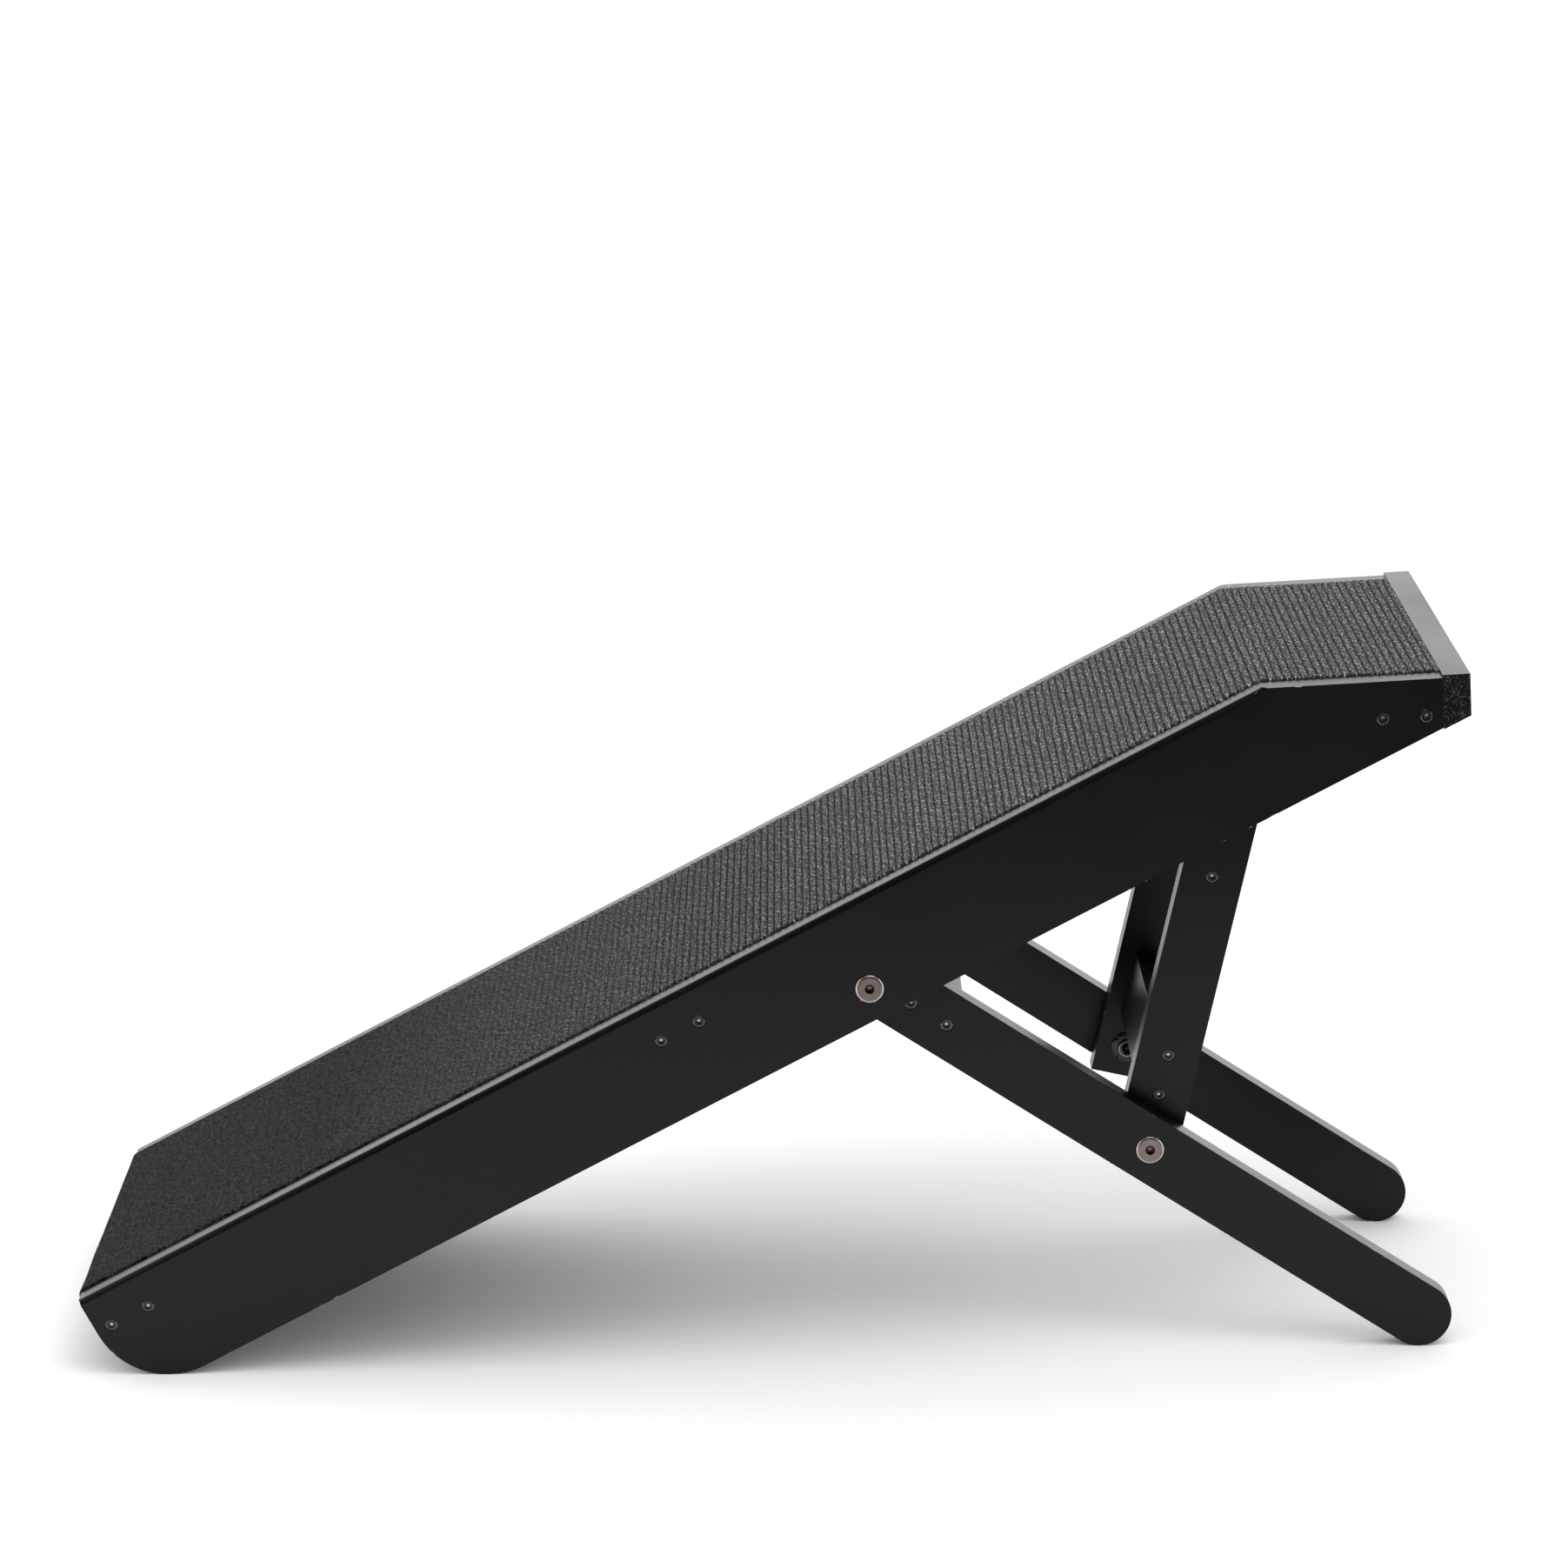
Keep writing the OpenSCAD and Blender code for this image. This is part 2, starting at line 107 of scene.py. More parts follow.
class Nodes:
    """Short calls for building one material's node tree."""

    # the colour sockets of a Mix node, whose names are shared with its other data types
    MIX_A, MIX_B, MIX_RESULT = 6, 7, 2

    def __init__(self, name):
        self.material = bpy.data.materials.new(name)
        self.material.use_nodes = True
        self.tree = self.material.node_tree
        self.shader = self.tree.nodes["Principled BSDF"]

    def add(self, kind, **inputs):
        node = self.tree.nodes.new(kind)
        for key, value in inputs.items():
            self.feed(node.inputs[key.replace("_", " ")], value)
        return node

    def feed(self, socket, value):
        if isinstance(value, bpy.types.NodeSocket):
            self.tree.links.new(value, socket)
        else:
            socket.default_value = value

    def shade(self, **inputs):
        for key, value in inputs.items():
            self.feed(self.shader.inputs[key.replace("_", " ")], value)

    def math(self, operation, a, b=0.0):
        node = self.tree.nodes.new("ShaderNodeMath")
        node.operation = operation
        self.feed(node.inputs[0], a)
        self.feed(node.inputs[1], b)
        return node.outputs[0]

    def ramp(self, value, low, high, to_low=0.0, to_high=1.0):
        """Maps low to high onto to_low to to_high, and holds the ends beyond them."""
        node = self.add("ShaderNodeMapRange", Value=value, To_Min=to_low, To_Max=to_high)
        node.inputs["From Min"].default_value = low
        node.inputs["From Max"].default_value = high
        return node.outputs[0]

    def mix(self, share, a, b):
        node = self.tree.nodes.new("ShaderNodeMix")
        node.data_type = "RGBA"
        self.feed(node.inputs["Factor"], share)
        self.feed(node.inputs[self.MIX_A], a)
        self.feed(node.inputs[self.MIX_B], b)
        return node.outputs[self.MIX_RESULT]

    def attribute(self, name, output="Fac"):
        node = self.tree.nodes.new("ShaderNodeAttribute")
        node.attribute_name = name
        return node.outputs[output]

    def axis(self, vector, letter):
        return self.add("ShaderNodeSeparateXYZ", Vector=vector).outputs[letter]

    def place(self, scale=(1, 1, 1), turn=(0, 0, 0)):
        """The spot on the piece, turned and then stretched."""
        spot = self.tree.nodes.new("ShaderNodeTexCoord").outputs["Object"]
        turned = self.add("ShaderNodeMapping", Vector=spot, Rotation=turn)
        sized = self.add("ShaderNodeMapping", Vector=turned.outputs[0], Scale=scale)
        return sized.outputs[0]

    def noise(self, vector, scale, detail=3.0, rough=0.5):
        node = self.add("ShaderNodeTexNoise", Vector=vector, Scale=scale, Detail=detail)
        node.inputs["Roughness"].default_value = rough
        return node.outputs["Fac"]

    def bump(self, height, distance, strength=1.0, under=None):
        node = self.add("ShaderNodeBump", Height=height, Distance=distance, Strength=strength)
        if under is not None:
            self.feed(node.inputs["Normal"], under)
        return node.outputs[0]


def grey(value, warm=0.0):
    """A grey as a colour with alpha, made warmer by the share given."""
    return (value * (1 + warm), value, value * (1 - warm), 1)


PAINT_DARK = grey(0.0018, 0.03)
PAINT_LIGHT = grey(0.0032, 0.03)
PAINT_DULL = grey(0.014, 0.04)
PAINT_IOR = 1.31
BARE_WOOD = grey(0.42, 0.08)
END_PORES = grey(0.09, 0.03)
CHIPPED_FROM, CHIPPED_TO = 0.43, 0.45        # the height over which the chips grow more frequent
# the worn low end: real leathery wear, in colours painted darker than the corded part as shade
WORN_MAT_SHADED_DARK = grey(0.001, 0.03)
WORN_MAT_SHADED_LIGHT = grey(0.034, 0.03)
# painted shade: the cord's dark, used in the grooves and along the side edges
CORD_SHADED_DARK = grey(0.003, 0.03)
# painted glint: the bright colour of the flecks on the ribs
CORD_GLINT_LIGHT = grey(0.36, 0.03)
MAT_BLOTCH = grey(0.01, 0.03)
MAT_IOR = 1.15
MAT_UPPER_LIGHTER = (0.2, 0.68)      # how far up its path the mat's worn, darker look goes over into the corded one, which is painted lighter as light
CORD_LEAN = math.radians(21)
CORD_SCALE = (720, 290, 1)   # cells of noise to a metre, along the ramp and across it
BRONZE_DARK = (0.185, 0.145, 0.133, 1)
BRONZE_LIGHT = (0.24, 0.192, 0.177, 1)
# painted shade: the dark of a bolt's socket walls
BRONZE_SOCKET_SHADE = (0.02, 0.015, 0.012, 1)
BRONZE_POLISHED = (0.66, 0.6, 0.57, 1)
OXIDE_DARK = grey(0.002)
OXIDE_LIGHT = grey(0.008, 0.03)
OXIDE_RUBBED = grey(0.44, 0.02)
ZINC_DARK = (0.5, 0.5, 0.48, 1)
ZINC_LIGHT = (0.68, 0.68, 0.67, 1)
NYLON_DARK = grey(0.018)
NYLON_LIGHT = grey(0.03)


def black_paint(name, grain):
    """Satin black paint over wood: soft grain, rolled-on texture, faint scuffs and chipped edges."""
    m = Nodes(name)
    along = (0, math.radians(grain), 0) if grain != ACROSS else (0, 0, math.radians(90))
    whole = m.place(turn=along)
    fibres = m.noise(m.place(scale=(14, 330, 330), turn=along), scale=1.0, detail=4.0, rough=0.6)
    mottle = m.noise(whole, scale=9.0)
    roller = m.noise(whole, scale=900.0, detail=2.0)
    scuffs = m.noise(m.place(scale=(30, 160, 160), turn=along), scale=1.0, detail=5.0, rough=0.7)
    worn = m.ramp(scuffs, 0.66, 0.76)

    edge = chipped_edge(m)
    chips = m.ramp(m.noise(whole, scale=240.0, detail=4.0, rough=0.6), 0.6, 0.63)
    high = m.ramp(m.axis(m.place(), "Z"), CHIPPED_FROM, CHIPPED_TO, to_low=0.0, to_high=0.14)
    patches = m.ramp(m.math("ADD", m.noise(whole, scale=16.0, detail=2.0), high), 0.58, 0.64)
    chipped = m.math("MULTIPLY", m.math("MULTIPLY", edge, chips), patches)

    paint = m.mix(m.ramp(mottle, 0.3, 0.7), PAINT_DARK, PAINT_LIGHT)
    paint = m.mix(m.math("MULTIPLY", worn, 0.3), paint, PAINT_DULL)
    paint = m.mix(chipped, paint, BARE_WOOD)
    if grain == ACROSS:
        paint = m.mix(m.math("MULTIPLY", open_ends(m, whole), 0.5), paint, END_PORES)
    satin = m.ramp(mottle, 0.3, 0.7, to_low=0.27, to_high=0.34)
    m.shade(
        Base_Color=paint,
        Roughness=m.math("ADD", satin, m.math("MULTIPLY", worn, 0.1)),
        IOR=PAINT_IOR,
    )
    soft = m.bump(fibres, 0.035 * MM, strength=0.5)
    m.shade(Normal=m.bump(roller, 0.012 * MM, strength=0.5, under=soft))
    return m.material


def chipped_edge(m):
    """1 close to an edge between two faces, 0 away from it."""
    rounded = m.tree.nodes.new("ShaderNodeBevel")
    rounded.samples = 4
    rounded.inputs["Radius"].default_value = 1.2 * MM
    true_normal = m.tree.nodes.new("ShaderNodeNewGeometry").outputs["True Normal"]
    apart = m.add("ShaderNodeVectorMath")
    apart.operation = "DOT_PRODUCT"
    m.feed(apart.inputs[0], rounded.outputs[0])
    m.feed(apart.inputs[1], true_normal)
    return m.ramp(apart.outputs["Value"], 0.985, 0.9)


def open_ends(m, whole):
    """The open pores of the end grain, on the two ends of a board that lies across the ramp."""
    normal = m.tree.nodes.new("ShaderNodeNewGeometry").outputs["Normal"]
    facing = m.math("ABSOLUTE", m.axis(normal, "Y"))
    pores = m.ramp(m.noise(whole, scale=620.0, detail=4.0, rough=0.7), 0.54, 0.62)
    return m.math("MULTIPLY", m.ramp(facing, 0.9, 0.98), pores)


def mat_rubber():
    """Dark ribbed matting of twisted cord: painted glints make bright flecks on the ribs, and painted
    shade darkens the grooves and the side edges.

    It wears to a leathery grain at the low end, which is painted darker as shade than the lighter upper
    part."""
    m = Nodes("grip_mat_rubber")
    whole = m.place()
    rib_lift_and_shade = m.attribute("relief_and_shade")
    spot = m.attribute("spot", "Vector")
    # lighter further up: the worn look gives way to cord, and the upper part is painted lighter as
    # light
    upper = m.ramp(m.axis(spot, "X"), *MAT_UPPER_LIGHTER)

    leaning = m.add("ShaderNodeMapping", Vector=spot, Rotation=(0, 0, CORD_LEAN))
    cord = m.add("ShaderNodeMapping", Vector=leaning.outputs[0], Scale=CORD_SCALE)
    strands = m.noise(cord.outputs[0], scale=1.0, detail=2.0, rough=0.6)
    # painted glints: bright flecks of colour on the ribs that stand in for highlights
    painted_glints = m.ramp(strands, 0.53, 0.66)
    leather = m.noise(whole, scale=430.0, detail=4.0, rough=0.6)
    blotch = m.noise(whole, scale=20.0)

    worn = m.mix(m.ramp(leather, 0.44, 0.6), WORN_MAT_SHADED_DARK, WORN_MAT_SHADED_LIGHT)
    # the cord's tone: painted glints on the ribs, held down by painted shade in the grooves and at the
    # sides
    tone = m.math("MULTIPLY", rib_lift_and_shade, m.math("ADD", painted_glints, 0.08))
    corded = m.mix(tone, CORD_SHADED_DARK, CORD_GLINT_LIGHT)
    # from the worn, painted-darker low end to the corded, painted-lighter upper part
    shade = m.mix(upper, worn, corded)
    strand_gloss = m.ramp(strands, 0.35, 0.7, to_low=1.0, to_high=0.7)
    m.shade(
        Base_Color=m.mix(m.ramp(blotch, 0.35, 0.75, to_high=0.2), shade, MAT_BLOTCH),
        Roughness=m.math("ADD", m.math("MULTIPLY", upper, -0.2), strand_gloss),
        IOR=MAT_IOR,
    )
    grain = m.bump(leather, 0.6 * MM)
    m.shade(Normal=m.bump(m.math("MULTIPLY", strands, rib_lift_and_shade), 0.9 * MM, under=grain))
    return m.material


def turned_bronze():
    """Bronze-grey plated steel with the fine rings a lathe leaves, painted dark in the socket as shade.
    """
    m = Nodes("bronze_bolt_steel")
    spot = m.place()
    flat = m.add("ShaderNodeCombineXYZ", X=m.axis(spot, "X"), Y=m.axis(spot, "Y"))
    away = m.add("ShaderNodeVectorMath", Vector=flat.outputs[0])
    away.operation = "LENGTH"
    radius = m.add("ShaderNodeCombineXYZ", X=away.outputs["Value"])
    rings = m.noise(radius.outputs[0], scale=2600.0, rough=0.6)
    cloud = m.noise(spot, scale=260.0)
    wear_shade_value = m.attribute(WEAR_AND_SHADE)
    plate = m.mix(m.ramp(cloud, 0.3, 0.7), BRONZE_DARK, BRONZE_LIGHT)
    plate = m.mix(m.ramp(wear_shade_value, SOCKET_SHADED, PLATED), BRONZE_SOCKET_SHADE, plate)
    m.shade(
        Base_Color=m.mix(m.ramp(wear_shade_value, PLATED, POLISHED), plate, BRONZE_POLISHED),
        Metallic=1.0,
        Roughness=m.ramp(rings, 0.3, 0.7, to_low=0.26, to_high=0.42),
        Normal=m.bump(rings, 0.03 * MM, strength=0.6),
    )
    return m.material


def black_oxide():
    """Blackened steel, rubbed bright where the mesh says that it is bare."""
    m = Nodes("black_oxide_steel")
    cloud = m.noise(m.place(), scale=700.0)
    rubbed = m.ramp(m.math("MULTIPLY", m.attribute(WEAR_AND_SHADE), m.math("ADD", cloud, 0.35)), 0.35, 0.65)
    m.shade(
        Base_Color=m.mix(rubbed, m.mix(cloud, OXIDE_DARK, OXIDE_LIGHT), OXIDE_RUBBED),
        Metallic=rubbed,
        Roughness=m.ramp(cloud, 0.3, 0.7, to_low=0.2, to_high=0.34),
        Normal=m.bump(cloud, 0.02 * MM, strength=0.5),
    )
    return m.material


def bright_zinc():
    """Bright zinc plate with a faint cloudy spangle."""
    m = Nodes("zinc_plated_steel")
    cloud = m.noise(m.place(), scale=420.0, detail=4.0, rough=0.6)
    m.shade(
        Base_Color=m.mix(m.ramp(cloud, 0.3, 0.7), ZINC_DARK, ZINC_LIGHT),
        Metallic=1.0,
        Roughness=m.ramp(cloud, 0.3, 0.7, to_low=0.2, to_high=0.34),
        Normal=m.bump(cloud, 0.02 * MM, strength=0.4),
    )
    return m.material


def black_nylon():
    """Matt black moulded plastic."""
    m = Nodes("black_nylon")
    grain = m.noise(m.place(), scale=900.0)
    m.shade(
        Base_Color=m.mix(grain, NYLON_DARK, NYLON_LIGHT),
        Roughness=m.ramp(grain, 0.3, 0.7, to_low=0.4, to_high=0.55),
        Normal=m.bump(grain, 0.03 * MM, strength=0.5),
    )
    return m.material


# ---------------------------------------------------------------- reading the frame

STRAIGHT = 1 - 1e-7      # the cosine of a turn too small to count


def side_outline(node):
    """The outline of a node's face at its highest y, as (x, z) points in order.

    Points in the middle of a straight line are left out."""
    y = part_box(node)[1].y
    mesh = nodes[node].data
    keys = [tuple(round(c, 6) for c in v.co) for v in mesh.vertices]
    follows = {}
    for face in mesh.polygons:
        loop = [keys[i] for i in face.vertices]
        if all(abs(p[1] - y) < 10 * SAME_POINT for p in loop):
            for a, b in zip(loop, loop[1:] + loop[:1]):
                follows[a] = follows.get(a, set()) | {b}
    rim = {a: b for a, ends in follows.items() for b in ends if a not in follows.get(b, ())}
    points = [min(rim)]
    while rim[points[-1]] != points[0]:
        points.append(rim[points[-1]])
    flat = [Vector((p[0], p[2])) for p in points]
    kept = []
    for i, p in enumerate(flat):
        before = (p - flat[i - 1]).normalized()
        after = (flat[(i + 1) % len(flat)] - p).normalized()
        if before.dot(after) < STRAIGHT:
            kept.append(p)
    return kept


def islands(node):
    """The separate solids of a node, each as an array of its points."""
    mesh = bmesh.new()
    mesh.from_mesh(nodes[node].data)
    bmesh.ops.remove_doubles(mesh, verts=mesh.verts, dist=SAME_POINT)
    left = set(mesh.verts)
    found = []
    while left:
        group = [left.pop()]
        for v in group:
            for e in v.link_edges:
                other = e.other_vert(v)
                if other in left:
                    left.remove(other)
                    group.append(other)
        found.append(np.array([v.co for v in group]))
    mesh.free()
    return sorted(found, key=lambda p: tuple(p.mean(0).round(4)))


def fastener_place(points, head_r):
    """Where a screw or bolt sits, and its length.

    The place is a matrix whose Z points out of its head, and whose origin is on the head's top."""
    centre = (points.max(0) + points.min(0)) / 2
    spread = points - points.mean(0)
    axis = np.linalg.svd(spread, full_matrices=False)[2][0]
    along = points @ axis
    off = points - np.outer(along, axis)
    in_head = np.linalg.norm(off - off.mean(0), axis=1) > 0.9 * head_r
    if along[in_head].mean() < along.mean():
        axis, along = -axis, -along
    head = centre + axis * (along.max() - centre @ axis)
    turn = Vector(axis).to_track_quat("Z", "X").to_matrix().to_4x4()
    return Matrix.Translation(head) @ turn, along.max() - along.min()


# ---------------------------------------------------------------- turned parts

ROUND = None             # in place of a ring's flats
UNBOUND = 9.0            # a ring's limit that is wider than any hexagon
TURNED_STEPS = 48


def join_loops(mesh, loops, downwards=False):
    """Adds the faces between each loop of points and the next."""
    for a, b in zip(loops, loops[1:]):
        if downwards:
            a, b = b, a
        for i in range(len(a)):
            j = (i + 1) % len(a)
            mesh.faces.new((a[i], a[j], b[j], b[i]))


def turned(mesh, rings, place):
    """Adds a solid turned from rings of (height, flats, limit, wear), whose last value marks wear, and
    on a bolt the socket's painted shade.

    A ring is a hexagon of the size flats across, held inside a circle of the radius limit."""
    worn = mesh.verts.layers.float.get(WEAR_AND_SHADE) or mesh.verts.layers.float.new(WEAR_AND_SHADE)
    loops = []
    for z, flats, limit, wear_shade_value in rings:
        loop = []
        for i in range(TURNED_STEPS):
            angle = 2 * math.pi * i / TURNED_STEPS
            r = limit
            if flats:
                from_flat = (angle + math.pi / 6) % (math.pi / 3) - math.pi / 6
                r = min(limit, flats / 2 / math.cos(from_flat))
            v = mesh.verts.new(place @ Vector((r * math.cos(angle), r * math.sin(angle), z)))
            v[worn] = wear_shade_value
            loop.append(v)
        loops.append(loop)
    join_loops(mesh, loops)
    mesh.faces.new(loops[0][::-1])
    mesh.faces.new(loops[-1])


THREAD_ROWS = 4          # rows of points to one turn of the thread
THREAD_SHARP = 2.2       # how narrow the crests are
POINT_SHARE = 0.45       # the width that is left at the point
POINT_LENGTH = 2.5       # the point's length in radii


def threaded(mesh, place, top, bottom, r, depth, pitch, steps=24):
    """Adds a shank with a helical thread from top down to bottom, ending in a short point."""
    count = int((top - bottom) / pitch * THREAD_ROWS)
    loops = []
    for k in range(count + 1):
        z = top + (bottom - top) * k / count
        loop = []
        for i in range(steps):
            angle = 2 * math.pi * i / steps
            turn = (z / pitch - i / steps) % 1
            crest = max(0.0, 1 - abs(2 * turn - 1) * THREAD_SHARP)
            taper = min(1.0, POINT_SHARE + (z - bottom) / (POINT_LENGTH * r))
            radius = (r - depth + depth * crest) * taper
            spot = Vector((radius * math.cos(angle), radius * math.sin(angle), z))
            loop.append(mesh.verts.new(place @ spot))
        loops.append(loop)
    join_loops(mesh, loops, downwards=True)
    mesh.faces.new(loops[0])
    mesh.faces.new(loops[-1][::-1])


def finished(mesh, name, material, body, slot, *replaced, place=None, sharp=32):
    """Turns a bmesh into a piece of the object, smooth but for its sharp edges."""
    bmesh.ops.recalc_face_normals(mesh, faces=mesh.faces)
    for face in mesh.faces:
        face.smooth = True
    for edge in mesh.edges:
        if len(edge.link_faces) == 2 and edge.calc_face_angle() > math.radians(sharp):
            edge.smooth = False
    data = bpy.data.meshes.new(name)
    mesh.to_mesh(data)
    mesh.free()
    data.materials.append(material)
    piece = bpy.data.objects.new(name, data)
    scene.collection.objects.link(piece)
    if place is not None:
        piece.matrix_world = place
    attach(piece, body)
    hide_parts(*replaced)


SCREW_HEAD_R = 4.2 * MM
SCREW_HEAD_H = 2.4 * MM
SCREW_KEY = 3.0 * MM
SCREW_R = 2.0 * MM


def screw(mesh, place, length):
    """Countersunk wood screw with a hex socket, its head's top at the place's origin."""
    turned(mesh, [
        (-1.6 * MM, ROUND, 0.35 * MM, RUBBED),
        (-1.58 * MM, ROUND, 0.75 * MM, RUBBED),
        (-1.5 * MM, SCREW_KEY * 0.9, UNBOUND, BLACKENED),
        (-0.3 * MM, SCREW_KEY, UNBOUND, BLACKENED),
        (-0.12 * MM, ROUND, SCREW_KEY * 0.62, BLACKENED),
        (-0.1 * MM, ROUND, SCREW_KEY * 0.75, BLACKENED),
        (-0.1 * MM, ROUND, SCREW_HEAD_R - 1.0 * MM, BLACKENED),
        (-0.08 * MM, ROUND, SCREW_HEAD_R - 0.75 * MM, BLACKENED),
        (-0.16 * MM, ROUND, SCREW_HEAD_R - 0.5 * MM, RUBBED),
        (-0.4 * MM, ROUND, SCREW_HEAD_R - 0.12 * MM, RUBBED),
        (-0.6 * MM, ROUND, SCREW_HEAD_R, BLACKENED),
        (-0.8 * MM, ROUND, SCREW_HEAD_R, BLACKENED),
        (-SCREW_HEAD_H, ROUND, SCREW_R * 1.05, BLACKENED),
        (-SCREW_HEAD_H - 0.3 * MM, ROUND, SCREW_R * 0.8, BLACKENED),
    ], place)
    shank_top = -SCREW_HEAD_H - 0.2 * MM
    threaded(mesh, place, shank_top, -length, SCREW_R, depth=0.55 * MM, pitch=1.9 * MM)


BOLT_HEAD_R = 9.5 * MM
BOLT_HEAD_H = 3.2 * MM
BOLT_FLAT_R = 8.6 * MM       # well inside the head and outside the shank, to tell the two apart
BOLT_R = 4.0 * MM
BOLT_KEY = 5.0 * MM
BOLT_THREAD = 16 * MM


def pivot_bolt(mesh, length):
    """Connector bolt with a flat bevelled head, a hex socket and a threaded end.

    Its head's top is at z = 0."""
    place = Matrix.Identity(4)
    thread_top = -length + BOLT_THREAD
    turned(mesh, [
        (-2.55 * MM, ROUND, 0.3 * MM, PLATED),
        # the socket's walls and mouth, painted dark as shade
        (-1.9 * MM, BOLT_KEY * 0.8, UNBOUND, SOCKET_SHADED),
        (-1.8 * MM, BOLT_KEY, UNBOUND, SOCKET_SHADED),
        (-0.45 * MM, BOLT_KEY, UNBOUND, SOCKET_SHADED),
        (-0.2 * MM, ROUND, BOLT_KEY * 0.57, SOCKET_SHADED),
        (0.0, ROUND, BOLT_KEY * 0.63, SOCKET_SHADED),
        (0.0, ROUND, BOLT_KEY * 0.67, PLATED),
        (0.0, ROUND, BOLT_HEAD_R - 1.75 * MM, PLATED),
        (0.0, ROUND, BOLT_HEAD_R - 1.65 * MM, PLATED),
        (-0.12 * MM, ROUND, BOLT_HEAD_R - 1.3 * MM, PLATED),
        (-0.38 * MM, ROUND, BOLT_HEAD_R - 0.8 * MM, POLISHED),
        (-0.7 * MM, ROUND, BOLT_HEAD_R - 0.3 * MM, POLISHED),
        (-1.0 * MM, ROUND, BOLT_HEAD_R - 0.06 * MM, PLATED),
        (-1.2 * MM, ROUND, BOLT_HEAD_R, PLATED),
        (-BOLT_HEAD_H + 0.2 * MM, ROUND, BOLT_HEAD_R, PLATED),
        (-BOLT_HEAD_H, ROUND, BOLT_HEAD_R - 0.2 * MM, PLATED),
        (-BOLT_HEAD_H, ROUND, BOLT_R, PLATED),
        (thread_top, ROUND, BOLT_R, PLATED),
        (thread_top - 0.3 * MM, ROUND, BOLT_R - 0.4 * MM, PLATED),
    ], place)
    threaded(mesh, place, thread_top, -length, BOLT_R, depth=0.45 * MM, pitch=1.25 * MM, steps=32)


NUT_FLANGE_R = 11 * MM
NUT_BARREL_R = 6 * MM
NUT_BORE_R = 3.55 * MM
NUT_SLOT_R = 8.5 * MM
NUT_SLOT_W = 2.4 * MM
NUT_SLOTS = 4
NUT_STEPS = 96


def flange_nut(mesh, height):
    """Barrel nut on a slotted round flange.

    The flange's flat face is at z = 0, and the barrel's top at the height given."""
    rings = [
        (0.0, NUT_BORE_R, BLACKENED),
        (0.0, NUT_FLANGE_R - 0.3 * MM, BLACKENED),
        (0.2 * MM, NUT_FLANGE_R - 0.05 * MM, BLACKENED),
        (0.5 * MM, NUT_FLANGE_R, BLACKENED),
        (0.9 * MM, NUT_FLANGE_R - 0.1 * MM, BLACKENED),
        (1.2 * MM, NUT_FLANGE_R - 0.6 * MM, BLACKENED),
        (1.4 * MM, NUT_SLOT_R - 0.2 * MM, BLACKENED),
        (1.5 * MM, NUT_BARREL_R + 0.5 * MM, BLACKENED),
        (1.9 * MM, NUT_BARREL_R, BLACKENED),
        (height - 0.5 * MM, NUT_BARREL_R, BLACKENED),
        (height - 0.12 * MM, NUT_BARREL_R - 0.2 * MM, RUBBED),
        (height, NUT_BARREL_R - 0.55 * MM, RUBBED),
        (height, NUT_BARREL_R - 0.7 * MM, BLACKENED),
        (height, NUT_BORE_R + 0.9 * MM, BLACKENED),
        (height - 0.7 * MM, NUT_BORE_R, BLACKENED),
    ]
    worn = mesh.verts.layers.float.new(WEAR_AND_SHADE)
    loops = []
    for z, radius, wear_shade_value in rings:
        loop = []
        for i in range(NUT_STEPS):
            angle = 2 * math.pi * i / NUT_STEPS
            from_slot = (angle * NUT_SLOTS / (2 * math.pi)) % 1 - 0.5
            across = abs(from_slot) * 2 * math.pi / NUT_SLOTS * radius
            r = min(radius, NUT_SLOT_R) if across < NUT_SLOT_W / 2 else radius
            v = mesh.verts.new((r * math.cos(angle), r * math.sin(angle), z))
            v[worn] = wear_shade_value
            loop.append(v)
        loops.append(loop)
    join_loops(mesh, loops + loops[:1])


# ---------------------------------------------------------------- the pieces

WELD_REACH = 2e-6
FLAT_ANGLE = math.radians(0.5)
SHARP_ANGLE = math.radians(40)
FACE_WEIGHT = 90
EDGE_R = 0.6 * MM
ROUNDOVER_R = 4.2 * MM


def soften(obj, roundover=()):
    """Takes the sharp edges off a CAD piece with modifiers, and leaves its own mesh alone.

    The straight edge between the two corners in roundover gets the larger radius."""
    obj.modifiers.new("weld", "WELD").merge_threshold = WELD_REACH
    flat = obj.modifiers.new("flat", "DECIMATE")
    flat.decimate_type = "DISSOLVE"
    flat.angle_limit = FLAT_ANGLE
    if roundover:
        group = obj.vertex_groups.new(name="roundover")
        ends = []
        for v in obj.data.vertices:
            if min((v.co - p).length for p in roundover) < 10 * SAME_POINT:
                ends.append(v.index)
        group.add(ends, 1.0, "REPLACE")
        large = bevel(obj, "roundover", ROUNDOVER_R, 6)
        large.limit_method = "VGROUP"
        large.vertex_group = group.name
        large.use_clamp_overlap = False
    edges = bevel(obj, "edges", EDGE_R, 2)
    edges.limit_method = "ANGLE"
    edges.angle_limit = SHARP_ANGLE
    obj.modifiers.new("normals", "WEIGHTED_NORMAL").weight = FACE_WEIGHT


def bevel(obj, name, width, segments):
    modifier = obj.modifiers.new(name, "BEVEL")
    modifier.width = width
    modifier.segments = segments
    return modifier


def slope_edge(node):
    """The two ends of the long straight edge along the top of a rail's outer face."""
    outline = side_outline(node)
    pairs = zip(outline, outline[1:] + outline[:1])
    a, b = max(pairs, key=lambda ab: (ab[1] - ab[0]).length * (ab[0].y + ab[1].y))
    low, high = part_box(node)
    y = high.y if abs(high.y) > abs(low.y) else low.y
    return Vector((a.x, y, a.y)), Vector((b.x, y, b.y))


